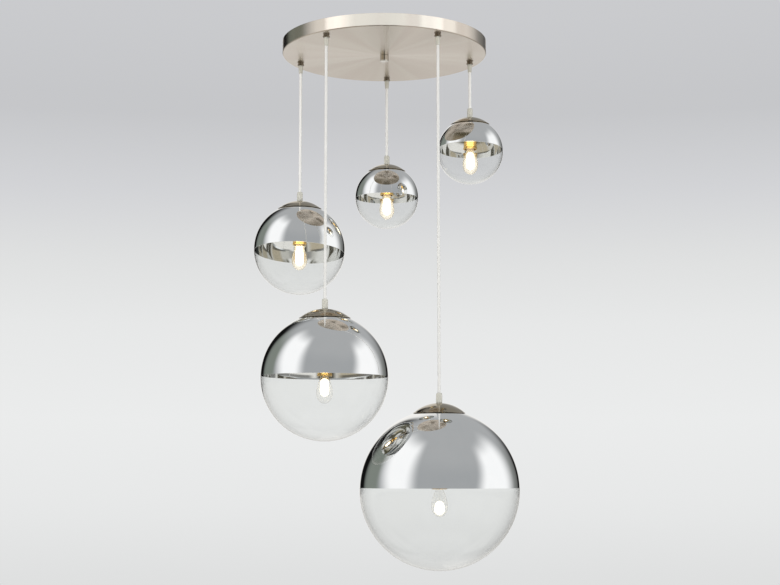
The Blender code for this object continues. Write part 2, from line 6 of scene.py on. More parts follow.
import bpy
import numpy as np
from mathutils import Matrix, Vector


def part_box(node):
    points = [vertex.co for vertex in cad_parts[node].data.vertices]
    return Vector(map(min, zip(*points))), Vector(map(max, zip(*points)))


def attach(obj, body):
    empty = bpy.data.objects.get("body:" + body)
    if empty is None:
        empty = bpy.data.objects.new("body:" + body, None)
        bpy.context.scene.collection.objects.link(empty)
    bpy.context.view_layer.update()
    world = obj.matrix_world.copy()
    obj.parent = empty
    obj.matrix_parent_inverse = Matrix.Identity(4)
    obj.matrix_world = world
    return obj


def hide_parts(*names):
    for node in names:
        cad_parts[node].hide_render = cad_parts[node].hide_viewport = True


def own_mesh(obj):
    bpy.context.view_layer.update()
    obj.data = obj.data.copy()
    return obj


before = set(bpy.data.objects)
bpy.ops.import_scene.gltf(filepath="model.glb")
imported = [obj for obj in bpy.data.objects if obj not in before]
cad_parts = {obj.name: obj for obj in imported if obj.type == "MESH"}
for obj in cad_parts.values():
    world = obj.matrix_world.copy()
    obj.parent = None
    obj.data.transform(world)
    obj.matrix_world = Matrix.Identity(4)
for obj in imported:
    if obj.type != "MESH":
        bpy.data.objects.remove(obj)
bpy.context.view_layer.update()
numbers = range(1, 6)  # the pendants: 1 far left, 2 far centre, 3 far right, 4 near left, 5 near right
tau = math.tau

cameraValues = {"place": (0.0112, -2.948, -0.8492), "pitch": 6.85, "lens": 70.9, "sensor": 36, "clipEnd": 200}


def makeCamera(values):
    # it looks along +Y, raised by the pitch
    camera = bpy.data.objects.new("camera", bpy.data.cameras.new("camera"))
    bpy.context.scene.collection.objects.link(camera)
    camera.location = values["place"]
    camera.rotation_euler = (math.radians(90 + values["pitch"]), 0, 0)
    camera.data.lens, camera.data.sensor_width = values["lens"], values["sensor"]
    camera.data.clip_end = values["clipEnd"]
    bpy.context.scene.camera = camera
    bpy.context.scene.view_settings.view_transform = "Standard"


makeCamera(cameraValues)
print("camera made")


class Value:  # an output of a node, on which sums are written as in Python: each one adds a Math node
    def __init__(self, tree, socket):
        self.tree, self.socket = tree, socket

    def maths(self, operation, *items):
        return self.tree.node("Math", {"operation": operation}, dict(enumerate(items)))

    def __add__(self, other):
        return self.maths("ADD", self, other)

    __radd__ = __add__

    def __sub__(self, other):
        return self.maths("SUBTRACT", self, other)

    def __rsub__(self, other):
        return self.maths("SUBTRACT", other, self)

    def __mul__(self, other):
        return self.maths("MULTIPLY", self, other)

    __rmul__ = __mul__

    def __truediv__(self, other):
        return self.maths("DIVIDE", self, other)

    def __rtruediv__(self, other):
        return self.maths("DIVIDE", other, self)

    def __neg__(self):
        return self.maths("MULTIPLY", self, -1)

    def __pow__(self, power):
        return self.maths("POWER", self, power)

    def __lt__(self, other):
        return self.maths("LESS_THAN", self, other)

    def __or__(self, other):  # the larger of two
        return self.maths("MAXIMUM", self, other)


class Tree:  # the nodes of one material, or of the world
    def __init__(self, tree):
        self.tree = tree

    def feed(self, socket, item):
        # a Value is linked, a number or a vector is set, and a colour is set with its alpha of 1
        if isinstance(item, Value):
            self.tree.links.new(item.socket, socket)
        elif isinstance(item, tuple) and len(item) == 3 and len(socket.default_value) == 4:
            socket.default_value = (*item, 1)
        else:
            socket.default_value = item

    def node(self, kind, settings=None, sockets=None, output=0):
        # any node: its settings first, with a ramp's stops, then its sockets. It gives one output, or a list of them
        made = self.tree.nodes.new("ShaderNode" + kind)
        settings = dict(settings or {})
        stops = settings.pop("stops", ())
        for key, item in settings.items():
            setattr(made, key, item)
        for place, (at, colour) in enumerate(stops):
            elements = made.color_ramp.elements
            stop = elements[place] if place < 2 else elements.new(at)
            stop.position, stop.color = at, (*colour, 1)
        for key, item in (sockets or {}).items():
            self.feed(made.inputs[key], item)
        if isinstance(output, tuple):
            return [Value(self, made.outputs[key]) for key in output]
        return Value(self, made.outputs[output])

    def mix(self, share, first, second):
        return self.node("Mix", {"data_type": "RGBA"}, {0: share, 6: first, 7: second}, 2)

    def noise(self, vector, scale, detail=2.0, roughness=0.5):
        sockets = {"Vector": vector, "Scale": scale, "Detail": detail, "Roughness": roughness}
        return self.node("TexNoise", None, sockets, "Fac")

    def ease(self, item, low, high):  # 0 below low, 1 above high, smooth between
        sockets = {"Value": item, "From Min": low, "From Max": high}
        return self.node("MapRange", {"interpolation_type": "SMOOTHSTEP"}, sockets)

    def split(self, vector):
        return self.node("SeparateXYZ", None, {0: vector}, (0, 1, 2))

    def join(self, x, y, z):
        return self.node("CombineXYZ", None, {0: x, 1: y, 2: z})


class Look(Tree):  # a material on the Principled shader
    def __init__(self, name, **constants):
        self.name, self.material = name, bpy.data.materials.new(name)
        self.material.use_nodes = True
        super().__init__(self.material.node_tree)
        self.shader = self.tree.nodes["Principled BSDF"]
        self.set(**constants)

    def set(self, **items):  # baseColor feeds Base Color, and so on
        for name, item in items.items():
            words = "".join(" " + letter if letter.isupper() else letter for letter in name)
            self.feed(self.shader.inputs[words.strip().title().replace("Ior", "IOR")], item)

    def place(self):
        return self.node("TexCoord", None, None, "Object")

    def bump(self, height, strength, distance):
        sockets = {"Height": height, "Strength": strength, "Distance": distance}
        self.set(normal=self.node("Bump", None, sockets, "Normal"))


# each finish goes between two colours, and its roughness rises by spread. noises are the (density, detail) of what
# its colour, its roughness and its height follow, and bump is the strength and the depth
finishValues = {
    # the brushed plate's painted reflection fans: their colour, the edge over which they ease in, their share and their
    # density
    "brushed": {"colours": ((0.61, 0.555, 0.483), (0.70, 0.642, 0.565)), "fan": (0.585, 0.50, 0.44),
                "paintedFanEdge": (0.38, 0.62), "paintedFanShare": 0.5, "fans": 2.6, "lines": 2600, "broad": 9,
                "roughness": 0.17, "lineSpread": 0.06, "broadSpread": 0.04, "stretch": 0.92, "turn": 0.25,
                "bump": (0.08, 0.0001)},
    "nickel": {"colour": (0.80, 0.77, 0.72), "roughness": 0.015},
    # the gland: a dark, brown copy of the polished nickel, which is painted shade under the plate. The ferrules take it
    # too
    "gland": {"colour": (0.30, 0.26, 0.21), "roughness": 0.05},
    # the caps: a darker, browner copy of the polished nickel, which is a painted dark reflection of the canopy above
    # them
    "cap": {"colour": (0.42, 0.37, 0.29), "roughness": 0.07},
    "polished": {"noises": ((60, 3), (60, 3), (900, 2)), "spread": 0.05, "bump": (0.03, 0.0001)},
    "mirror": {"colours": ((0.85, 0.865, 0.87), (0.90, 0.905, 0.905)), "roughness": 0.012, "spread": 0.02,
               "noises": ((45, 3), (45, 3), (9, 1)), "bump": (0.08, 0.0006)},
    "glass": {"colours": ((0.958, 0.963, 0.956), (0.970, 0.974, 0.968)), "roughness": 0.004, "ior": 1.18,
              "swell": (14, 1), "dust": (600, 2), "specks": (0.6, 0.8), "bump": (0.1, 0.0001)},
    "plastic": {"colours": ((0.95, 0.93, 0.82), (0.98, 0.97, 0.91)), "roughness": 0.12, "spread": 0.12,
                "noises": ((240, 2), (240, 2), (240, 2)), "bump": (0.1, 0.0003)},
    "cord": {"colours": ((0.93, 0.925, 0.905), (0.97, 0.965, 0.95)), "roughness": 0.42, "spread": 0.12,
             "noises": ((130, 3), (130, 3), (400, 2)), "bump": (0.02, 0.0001)},
    "zinc": {"colours": ((0.52, 0.54, 0.56), (0.68, 0.69, 0.68)), "roughness": 0.24, "spread": 0.16,
             "noises": ((40, 2), (700, 3), (700, 3)), "bump": (0.06, 0.0001)},
    "brass": {"colours": ((0.72, 0.47, 0.16), (0.92, 0.66, 0.27)), "roughness": 0.16, "spread": 0.12,
              "streak": (900, 900, 40), "bump": (0.05, 0.0001)},
    "lamp": {"tint": (0.992, 0.99, 0.982), "roughness": 0.004, "glow": 0.0, "ior": 1.03},
    "glowingLamp": {"tint": (0.98, 0.965, 0.93), "roughness": 0.24, "glow": 0.09, "ior": 1.3},
    "core": {"colours": ((0.95, 0.88, 0.70), (0.98, 0.93, 0.80)), "roughness": 0.4, "glow": 3.2,
             "light": ((1.0, 0.84, 0.56), (1.0, 0.91, 0.70))},
    "wire": {"colours": ((0.76, 0.76, 0.74), (0.88, 0.88, 0.86)), "roughness": 0.38, "spread": 0.14,
             "noises": ((160, 3), (160, 3), (160, 3)), "bump": (0.08, 0.0002)},
    "terminal": {"colours": ((0.80, 0.80, 0.77), (0.88, 0.88, 0.85)), "roughness": 0.42, "spread": 0.16,
                 "noises": ((900, 3), (900, 3), (900, 3)), "bump": (0.12, 0.0002)},
}


def evenFinish(name, values, **constants):
    # a coat, plating, sheath or moulding that looks the same all over, but for its clouds and its grain
    look = Look(name, **constants)
    clouds, dullness, grain = (look.noise(look.place(), *noise) for noise in values["noises"])
    look.set(
        baseColor=look.mix(clouds, *values["colours"]), roughness=values["roughness"] + values["spread"] * dullness
    )
    look.bump(grain, *values["bump"])
    return look


def polishedNickel(name, values):
    # the colour goes from a little darker to a little lighter
    colours = (tuple(0.93 * c for c in values["colour"]), tuple(min(1, 1.05 * c) for c in values["colour"]))
    return evenFinish(name, finishValues["polished"] | values | {"colours": colours}, metallic=1.0)


def brushedNickel(values):
    # lines that run round the axis: noise of the radius and the height alone. Painted reflection fans: darker, warmer
    # wedges round the axis, from noise of the direction alone
    look = Look("brushed_nickel", metallic=1.0, anisotropic=values["stretch"], anisotropicRotation=values["turn"])
    x, y, z = look.split(look.place())
    radius = (x * x + y * y) ** 0.5
    lines = look.noise(look.join(radius * values["lines"], 0.0, z * values["lines"]), 1.0, 3)
    broad = look.noise(look.place(), values["broad"], 2)
    radius = radius + 0.0001
    fans = look.noise(look.join(x / radius, y / radius, 0.0), values["fans"], 4, 0.65)
    colour = look.mix(lines, *values["colours"])
    # the base colour takes the painted reflection fans over the lines' own tone
    look.set(
        baseColor=look.mix(look.ease(fans, *values["paintedFanEdge"]) * values["paintedFanShare"], colour, values["fan"]),
        roughness=values["roughness"] + values["lineSpread"] * lines + values["broadSpread"] * broad,
    )
    look.bump(lines, *values["bump"])
    return look


def clearGlass(values):
    # thin blown glass with a slow swell, and specks of dust where the fine noise is high
    look = Look("clear_glass", transmissionWeight=1.0, ior=values["ior"])
    swell, dust = look.noise(look.place(), *values["swell"]), look.noise(look.place(), *values["dust"])
    roughness = values["roughness"] * look.ease(dust, *values["specks"])
    look.set(baseColor=look.mix(dust, *values["colours"]), roughness=roughness)
    look.bump(swell, *values["bump"])
    return look


def holderBrass(values):
    # streaks that run down the holder: noise far denser across it than along it
    look = Look("holder_brass", metallic=1.0)
    parts = [axis * density for axis, density in zip(look.split(look.place()), values["streak"])]
    streak = look.noise(look.join(*parts), 1.0, 3)
    look.set(baseColor=look.mix(streak, *values["colours"]), roughness=values["roughness"] + values["spread"] * streak)
    look.bump(streak, *values["bump"])
    return look


def lampGlass(name, values):
    # thin glass, with a faint warm glow of its own where the lamp is lit through
    look = Look(name, transmissionWeight=0.97, ior=values["ior"], emissionStrength=values["glow"])
    mist = look.noise(look.place(), 90, 2)
    look.set(
        baseColor=look.mix(mist, values["tint"], (0.998, 0.996, 0.99)),
        roughness=values["roughness"] * (0.85 + 0.3 * mist),
        emissionColor=look.mix(mist, (1.0, 0.80, 0.50), (1.0, 0.88, 0.64)),
    )
    return look


def lampCore(values):
    # the part that burns white
    look = Look("lamp_core", roughness=values["roughness"], emissionStrength=values["glow"])
    mist = look.noise(look.place(), 120, 2)
    look.set(baseColor=look.mix(mist, *values["colours"]), emissionColor=look.mix(mist, *values["light"]))
    return look


looks = {
    "brushed": brushedNickel(finishValues["brushed"]),
    "nickel": polishedNickel("polished_nickel", finishValues["nickel"]),
    # painted shade: the glands' darker copy of the polished nickel
    "gland": polishedNickel("gland_nickel_painted_shade", finishValues["gland"]),
    # painted dark reflection: the caps' darker copy of the polished nickel
    "cap": polishedNickel("cap_nickel_painted_reflection", finishValues["cap"]),
    "mirror": evenFinish("mirror_coat", finishValues["mirror"], metallic=1.0),
    "glass": clearGlass(finishValues["glass"]),
    "plastic": evenFinish("clear_plastic", finishValues["plastic"], transmissionWeight=0.3, ior=1.42),
    "cord": evenFinish("cord_sheath", finishValues["cord"], ior=1.4),
    "zinc": evenFinish("zinc_steel", finishValues["zinc"], metallic=1.0),
    "brass": holderBrass(finishValues["brass"]),
    "lamp": lampGlass("lamp_glass", finishValues["lamp"]),
    "glowingLamp": lampGlass("lamp_glass_glowing", finishValues["glowingLamp"]),
    "core": lampCore(finishValues["core"]),
    "wire": evenFinish("wire_sheath", finishValues["wire"]),
    "terminal": evenFinish("terminal_plastic", finishValues["terminal"]),
}
print("materials made")

fineEdge, softEdge = 0.0002, 0.0003  # the fillets of small edges
sharpAngle = 35  # edges that turn further than this are shaded sharp, in degrees


def roundedOutline(corners, arcSteps=5):
    # corners are (radius, height, fillet): each fillet's arc touches both edges at fillet / tan(half the angle),
    # and one more point stands just off each of its ends, so that the flats beside it shade flat
    made = []
    for index, (across, up, fillet) in enumerate(corners):
        here = np.array((across, up), float)
        if fillet <= 0:
            made.append(here[None])
            continue
        sides = np.array((corners[index - 1][:2], corners[(index + 1) % len(corners)][:2])) - here
        lengths = np.linalg.norm(sides, axis=1)[:, None]
        sides = sides / lengths
        half = math.acos(np.clip(sides[0] @ sides[1], -1, 1)) / 2
        reach = fillet / math.tan(half)
        middle = here + sides.sum(0) / np.linalg.norm(sides.sum(0)) * fillet / math.sin(half)
        ends = here + sides * reach - middle
        share = np.linspace(0, 1, arcSteps + 1)[:, None]
        swing = math.pi - 2 * half
        arc = middle + (np.sin((1 - share) * swing) * ends[0] + np.sin(share * swing) * ends[1]) / math.sin(swing)
        off = here + sides * np.minimum(reach + fillet * 0.3, lengths * 0.49)
        made += [off[:1], arc, off[1:]]
    return np.concatenate(made)


def arcPoints(radius, start, end, steps, centre=0.0):
    # points (radius * sin(a), centre + radius * cos(a)) for angles a from +Z
    angles = np.linspace(start, end, steps + 1)
    return np.stack((radius * np.sin(angles), centre + radius * np.cos(angles)), axis=1)


def smoothedOutline(knots, steps):
    # a Catmull-Rom curve through the knots
    knots = np.asarray(knots, float)
    ends = np.vstack((2 * knots[0] - knots[1], knots, 2 * knots[-1] - knots[-2]))
    share = np.linspace(0, 1, steps, endpoint=False)[None, :, None]
    a, b, c, d = (ends[i:len(ends) - 3 + i, None] for i in range(4))
    curve = 0.5 * (2 * b + (c - a) * share + (2 * a - 5 * b + 4 * c - d) * share**2
                   + (3 * b - a - 3 * c + d) * share**3)
    return np.vstack((curve.reshape(-1, 2), knots[-1]))


def gridFaces(rows, sides, closed):
    # quads between each row of points and the next, all the way round
    row = np.arange(rows if closed else rows - 1)[:, None]
    side = np.arange(sides)[None, :]
    above, beside = (row + 1) % rows, (side + 1) % sides
    corners = (row * sides + side, row * sides + beside, above * sides + beside, above * sides + side)
    return np.stack(np.broadcast_arrays(*corners), axis=-1).reshape(-1, 4)


def ringSurface(grid, poles=None):
    # a grid of rings, one below the other: quads between them, closed into a tube wall, or by a pole at either end
    rows, sides = grid.shape[:2]
    points = grid.reshape(-1, 3)
    faces = gridFaces(rows, sides, closed=poles is None).tolist()
    if poles is not None:
        side = np.arange(sides)
        beside, last, count = (side + 1) % sides, (rows - 1) * sides, rows * sides
        points = np.vstack((points, poles))
        faces += np.stack((np.full(sides, count), beside, side), axis=1).tolist()
        faces += np.stack((last + side, last + beside, np.full(sides, count + 1)), axis=1).tolist()
    return points, faces


def turnedRings(outline, sides, centre=(0, 0, 0)):
    # each outline point (r, z) goes round the axis: (r cos a, r sin a, z)
    outline, angles = np.asarray(outline, float), np.arange(sides) * tau / sides
    radius, height = outline[:, :1], outline[:, 1:]
    grid = np.stack(np.broadcast_arrays(radius * np.cos(angles), radius * np.sin(angles), height), axis=-1)
    return grid + np.asarray(centre, float)


def turnedSurface(outline, sides, centre=(0, 0, 0)):
    # an outline that starts on the axis ends on it too, and its two ends become poles
    outline = np.asarray(outline, float)
    if outline[0, 0] > 1e-7:
        return ringSurface(turnedRings(outline, sides, centre))
    poles = np.array(((0, 0, outline[0, 1]), (0, 0, outline[-1, 1]))) + centre
    return ringSurface(turnedRings(outline[1:-1], sides, centre), poles)


def tubeSurface(path, radius, sides=20):
    # circles of one radius round the points of a path, each square to it, with a pole at either end
    path = np.asarray(path, float)
    along = np.gradient(path, axis=0)
    along /= np.linalg.norm(along, axis=1)[:, None]
    up = np.where(np.abs(along[:, 2:]) > 0.9, (1.0, 0, 0), (0, 0, 1.0))
    across = np.cross(along, up)
    across /= np.linalg.norm(across, axis=1)[:, None]
    other = np.cross(along, across)
    angles = (np.arange(sides) * tau / sides)[None, :, None]
    rings = path[:, None] + radius * (np.cos(angles) * across[:, None] + np.sin(angles) * other[:, None])
    return ringSurface(rings, path[[0, -1]])


def sphereRings(radius, start, end, steps, sides, centre):
    # part of a sphere: the angle from +Z goes from start to end, and each may change round the axis
    share = np.linspace(0, 1, steps + 1)[:, None]
    down = start + (end - start) * share + np.zeros(sides)
    angles = np.arange(sides) * tau / sides
    grid = (np.sin(down) * np.cos(angles), np.sin(down) * np.sin(angles), np.cos(down))
    return radius * np.stack(grid, axis=-1) + centre


def threadRings(low, high, root, crest, pitch, sides, centre, sharp=1.0, stepsPerPitch=8):
    # a rod whose radius at height z and angle a is root + (crest - root) * wave(z / pitch - a / tau): one helix
    rows = max(2, round((high - low) / pitch * stepsPerPitch)) + 1
    height = np.linspace(low, high, rows)[:, None]
    angle = (np.arange(sides) * tau / sides)[None, :]
    wave = (0.5 + 0.5 * np.cos(tau * (height / pitch) - angle)) ** sharp
    fade = np.clip(np.minimum(height - low, high - height) / (0.6 * pitch), 0, 1)
    radius = root + (crest - root) * wave * fade
    grid = np.stack(np.broadcast_arrays(radius * np.cos(angle), radius * np.sin(angle), height), axis=-1)
    return grid + np.array((centre[0], centre[1], 0.0))


def mergedParts(parts):
    # several (points, faces) as one: each part's faces count on from the points before it
    points, faces, count = [], [], 0
    for some, these in parts:
        points.append(some)
        faces += [[corner + count for corner in face] for face in these]
        count += len(some)
    return np.vstack(points), faces


def meshObject(name, points, faces):
    # a mesh in its place, on an object at the origin
    mesh = bpy.data.meshes.new(name)
    mesh.from_pydata(points, [], faces)
    mesh.update()
    made = bpy.data.objects.new(name, mesh)
    bpy.context.scene.collection.objects.link(made)
    return made


def shadeSmooth(mesh):
    mesh.shade_smooth()
    mesh.set_sharp_from_angle(angle=math.radians(sharpAngle))


def addPiece(name, surface, body, look, replaced=""):
    # surface is (points, faces); replaced is the CAD node that the piece stands for
    made = meshObject(name, *surface)
    made.data.materials.append(looks[look].material)
    shadeSmooth(made.data)
    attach(made, body)
    if replaced:
        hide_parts(replaced)
    return made


def addTurned(node, outline, sides, body, look):
    # a finer turned piece on the node's own axis, in its place
    x, y = placeOf(node)[:2]
    return addPiece(f"{node}_fine", turnedSurface(outline, sides, (x, y, 0)), body, look, node)


def placeOf(node):
    # where a round node stands: its axis, its lowest and highest point, and its radius
    low, high = (np.array(corner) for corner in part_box(node))
    x, y, _ = (low + high) / 2
    return float(x), float(y), float(low[2]), float(high[2]), float(high[0] - low[0]) / 2


def paint(node, look):
    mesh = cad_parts[node].data
    mesh.materials.clear()
    mesh.materials.append(looks[look].material)


cordValues = {
    "radius": 0.00275, "sides": 24, "step": 0.012, "fewestSteps": 6,
    "shaded": (1, 2, 3),  # the far cords, which the canopy shades: one light is for them alone
}
litAlone = {"farCords": bpy.data.collections.new("far_cords"), "canopy": bpy.data.collections.new("canopy_only")}


def addCordEnd(name, place, steps, gap, body, look):
    # a straight length of cord, thinner than the free one by gap
    x, y, bottom, top = place
    path = [(x, y, z) for z in np.linspace(bottom, top, steps)]
    addPiece(name, tubeSurface(path, cordValues["radius"] - gap, cordValues["sides"]), body, look)


def makeCord(number, values):
    # a straight tube from the bend relief down to the grip
    x, y, bottom, top, _ = placeOf(f"cord_{number}")
    length = top - bottom
    count = max(values["fewestSteps"], round(length / values["step"]))
    path = [(x, y, float(z)) for z in np.linspace(top, bottom, count + 1)]
    cord = addPiece(
        f"cord_{number}_fine", tubeSurface(path, values["radius"], values["sides"]), f"hanging_cord_{number}", "cord",
        f"cord_{number}",
    )
    if number in values["shaded"]:
        litAlone["farCords"].objects.link(cord)
    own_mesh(cord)


for number in numbers:
    makeCord(number, cordValues)
print("cords made")

# the studio that the mirror coats and the canopy reflect. Angles are degrees: round the object from the front,
# negative to the left, and up from level. Each pair of angles is where a change starts and where it ends
studioColours = {
    "dark": (0.006, 0.006, 0.006), "dimGreen": (0.18, 0.20, 0.18), "green": (0.221, 0.245, 0.217),
    "grey": (0.393, 0.404, 0.413), "dimGrey": (0.33, 0.335, 0.33), "darkGrey": (0.24, 0.25, 0.24),
    "deepGrey": (0.14, 0.14, 0.135), "back": (0.95, 0.93, 0.90),
    "pale": (0.86, 0.84, 0.80), "soft": (0.62, 0.60, 0.55), "brown": (0.50, 0.44, 0.33), "shade": (0.09, 0.082, 0.06),
    "behind": (0.74, 0.73, 0.71), "warm": (0.50, 0.49, 0.47), "dimWarm": (0.44, 0.43, 0.40), "dusk": (0.34, 0.33, 0.31),
    "olive": (0.11, 0.10, 0.06), "light": (0.92, 0.90, 0.87), "half": (0.515, 0.50, 0.465),
}
worldValues = {
    # soft boxes: fade in, full, full, fade out, and how far the edge that fades in leans outwards for each degree
    # of height above leanFrom
    "boxStrength": 1.06,
    "leftBox": (-106, -76, -55, -31, -0.35), "leftTop": (50, 74),
    "rightBox": (52, 74, 104, 136, 0.34), "rightTop": (34, 56),
    "leanFrom": 14,
    # screens: grey in front, greenish on the left, dark flags behind on both sides
    "screens": (
        (-180, "back"), (-168, "back"), (-161, "dark"), (-143, "dark"), (-134, "dimGreen"), (-126, "green"),
        (-106, "green"), (-94, "grey"), (108, "grey"), (126, "dimGrey"), (135, "darkGrey"), (147, "deepGrey"),
        (152, "dark"), (161, "dark"), (168, "back"), (180, "back"),
    ),
    "screenTop": (19, 47), "screenSlope": 0.08,  # the screens end higher on the left
    "overhead": (0.43, 0.438, 0.444),
    # below the object's height: pale to the right, brownish to the left, and one narrow dark flag in front, which
    # the mirrored insides repeat
    "lowScreens": (
        (-180, "behind"), (-168, "behind"), (-154, "warm"), (-135, "dimWarm"), (-112, "soft"), (-82, "soft"),
        (-68, "brown"), (-30, "brown"), (-20, "soft"), (-13, "shade"), (13, "shade"), (20, "pale"), (76, "pale"),
        (108, "soft"), (128, "dusk"), (156, "dusk"), (169, "behind"), (180, "behind"),
    ),
    "lowScreenStart": (-46, -30), "screenStart": (-3, -1),
    # a dark band right below the screens, on both sides
    "darkBand": (-8, -5.5), "bandSides": (20, 34, 96, 110), "bandShare": 0.75,
    "bandColour": (0.05, 0.052, 0.048),
    # floor cards: light right below the object and behind it, dark in front, with a few spokes to the sides
    "floorCards": (
        (-180, "light"), (-150, "light"), (-140, "olive"), (-128, "light"), (-112, "light"), (-99, "olive"),
        (-89, "half"), (-78, "olive"), (78, "olive"), (89, "half"), (99, "olive"), (112, "light"), (128, "light"),
        (140, "olive"), (150, "light"), (180, "light"),
    ),
    "directlyBelow": (-66, -54),
    # what the camera sees behind the object: a pale backdrop by height, a little darker and cooler above
    "backdrop": (
        (-90, 0.76), (-4, 0.73), (-1, 0.80), (2, 0.83), (5.5, 0.80), (8, 0.74), (10.5, 0.65), (13.5, 0.56),
        (17, 0.59), (90, 0.72),
    ),
    "backdropTint": 1.01, "coolBetween": (8, 20), "cooler": 0.03,
}


def makeWorld(values):
    # a colour for each direction: its angle round the object is atan2(x, -y), and its height is asin(z)
    world = bpy.data.worlds.new("studio")
    bpy.context.scene.world = world
    world.use_nodes = True
    look = Tree(world.node_tree)
    x, y, z = look.split(look.node("TexCoord", None, None, "Generated"))
    around = look.node("Math", {"operation": "ARCTAN2"}, {0: x, 1: -y}) * (360 / tau)
    height = look.node("Math", {"operation": "ARCSINE"}, {0: z}) * (360 / tau)
    aside = look.node("Math", {"operation": "ABSOLUTE"}, {0: around})

    def ramp(key):
        stops = [((angle + 180) / 360, studioColours[name]) for angle, name in values[key]]
        return look.node("ValToRGB", {"stops": stops}, {0: around / 360 + 0.5}, "Color")

    def softBox(low, full, fullEnd, end, lean):
        leaning = around - lean * (height - values["leanFrom"])
        return look.ease(leaning, low, full) * (1 - look.ease(around, fullEnd, end))

    floor = look.mix(look.ease(height, *values["directlyBelow"]), studioColours["light"], ramp("floorCards"))
    low = look.mix(look.ease(height, *values["lowScreenStart"]), floor, ramp("lowScreens"))
    start, full, fullEnd, end = values["bandSides"]
    band = look.ease(height, *values["darkBand"]) * look.ease(aside, start, full) * (1 - look.ease(aside, fullEnd, end))
    low = look.mix(band * values["bandShare"], low, values["bandColour"])
    high = look.ease(height + values["screenSlope"] * around, *values["screenTop"])
    high = look.mix(high, ramp("screens"), values["overhead"])
    aboveFloor = look.ease(height, *values["screenStart"])
    studio = look.mix(aboveFloor, low, high)
    boxes = softBox(*values["leftBox"]) * (1 - look.ease(height, *values["leftTop"]))
    boxes = boxes + softBox(*values["rightBox"]) * (1 - look.ease(height, *values["rightTop"]))
    studio = look.mix(boxes * aboveFloor, studio, (values["boxStrength"],) * 3)

    coolFrom, coolTo = values["coolBetween"]
    tint = values["backdropTint"]
    stops = []
    for angle, tone in values["backdrop"]:
        blue = tint + values["cooler"] * (coolFrom < angle < coolTo)
        stops.append(((angle + 90) / 180, (tone, tone * tint, tone * blue)))
    backdrop = look.node("ValToRGB", {"stops": stops}, {0: height / 180 + 0.5}, "Color")
    # the backdrop shows straight and through clear glass, but not after a reflection
    straight, through, bounces = look.node(
        "LightPath", None, None, ("Is Camera Ray", "Is Transmission Ray", "Glossy Depth")
    )
    seen = (straight | through) * (bounces < 0.5)
    look.feed(look.tree.nodes["Background"].inputs["Color"], look.mix(seen, studio, backdrop))


makeWorld(worldValues)

floorValues = {
    "height": -3.7, "thickness": 0.02, "radius": 1.7, "fade": (0.5, 1.649), "sides": 64,
    "colour": (0.80, 0.79, 0.775), "grain": 0.97,
}


def makeFloor(values):
    # a thin round disc, far below, whose edge fades out: its alpha falls with the distance from the axis
    radius = values["radius"]
    outline = [(0, -values["thickness"]), (radius, -values["thickness"]), (radius, 0), (0, 0)]
    floor = meshObject("floor", *turnedSurface(outline, values["sides"], (0, 0, values["height"])))
    look = Look("floor_matte", roughness=0.8, specularIorLevel=0.2)
    darker = tuple(values["grain"] * c for c in values["colour"])
    x, y, _ = look.split(look.place())
    look.set(
        baseColor=look.mix(look.noise(look.place(), 0.6, 3), values["colour"], darker),
        alpha=1 - look.ease((x * x + y * y) ** 0.5, *values["fade"]),
    )
    floor.data.materials.append(look.material)


makeFloor(floorValues)

# the fills light matte surfaces alone, and show in no reflection and through no glass
objectMiddle, canopyFace, daylight = (0, 0, -0.5), (0, 0, -0.012), (0.90, 0.96, 1.0)
lightValues = {
    "fillLeft": {"place": (-2.4, -5.8, -0.6), "size": 3.6, "watts": 108, "fill": True},
    "fillRight": {"place": (2.8, -5.4, -0.9), "size": 3.2, "watts": 66, "fill": True},
    "fillBack": {"place": (0.5, 5.6, -0.5), "size": 3.4, "watts": 80, "fill": True},
    "cords": {"place": (0.2, -5.0, -0.3), "size": 2.4, "watts": 32, "fill": True, "only": "farCords"},
    "front": {"place": (0.0, -1.35, 0.6), "size": 5.8, "height": 1.0, "watts": 20, "only": "canopy",
              "target": canopyFace, "colour": daylight},
    "side": {"place": (1.75, -0.95, 0.55), "size": 1.6, "height": 0.8, "watts": 2.0, "only": "canopy",
             "target": canopyFace, "colour": daylight},
    "rear": {"place": (-1.0, 3.1, -1.0), "size": 3.0, "height": 1.3, "watts": 0.7, "only": "canopy",
             "target": canopyFace},
}


def makeLight(name, values):
    # an area light turned towards its target. With "only", it lights nothing but that collection
    light = bpy.data.lights.new(name, "AREA")
    light.energy, light.size, light.color = values["watts"], values["size"], values.get("colour", (1, 1, 1))
    if "height" in values:
        light.shape, light.size_y = "RECTANGLE", values["height"]
    made = bpy.data.objects.new(name, light)
    bpy.context.scene.collection.objects.link(made)
    place, target = Vector(values["place"]), Vector(values.get("target", objectMiddle))
    made.location = place
    made.rotation_euler = (target - place).to_track_quat("-Z", "Y").to_euler()
    made.visible_camera = False
    if "fill" in values:
        made.visible_glossy = made.visible_transmission = False
    if "only" in values:
        made.light_linking.receiver_collection = litAlone[values["only"]]


for lightName, itsValues in lightValues.items():
    makeLight(lightName + "_light", itsValues)
print("world, floor and lights made")

canopyValues = {
    "wall": 0.0012, "edge": 0.002, "centreHole": 0.0033, "exitHole": 0.0052, "sides": 240,
    "rings": 6, "ringsFrom": 0.04, "ringsEnd": 0.012,  # more rings across the plate keep its faces small
    "drill": (-0.004, 0.005), "drillSides": 40,
}


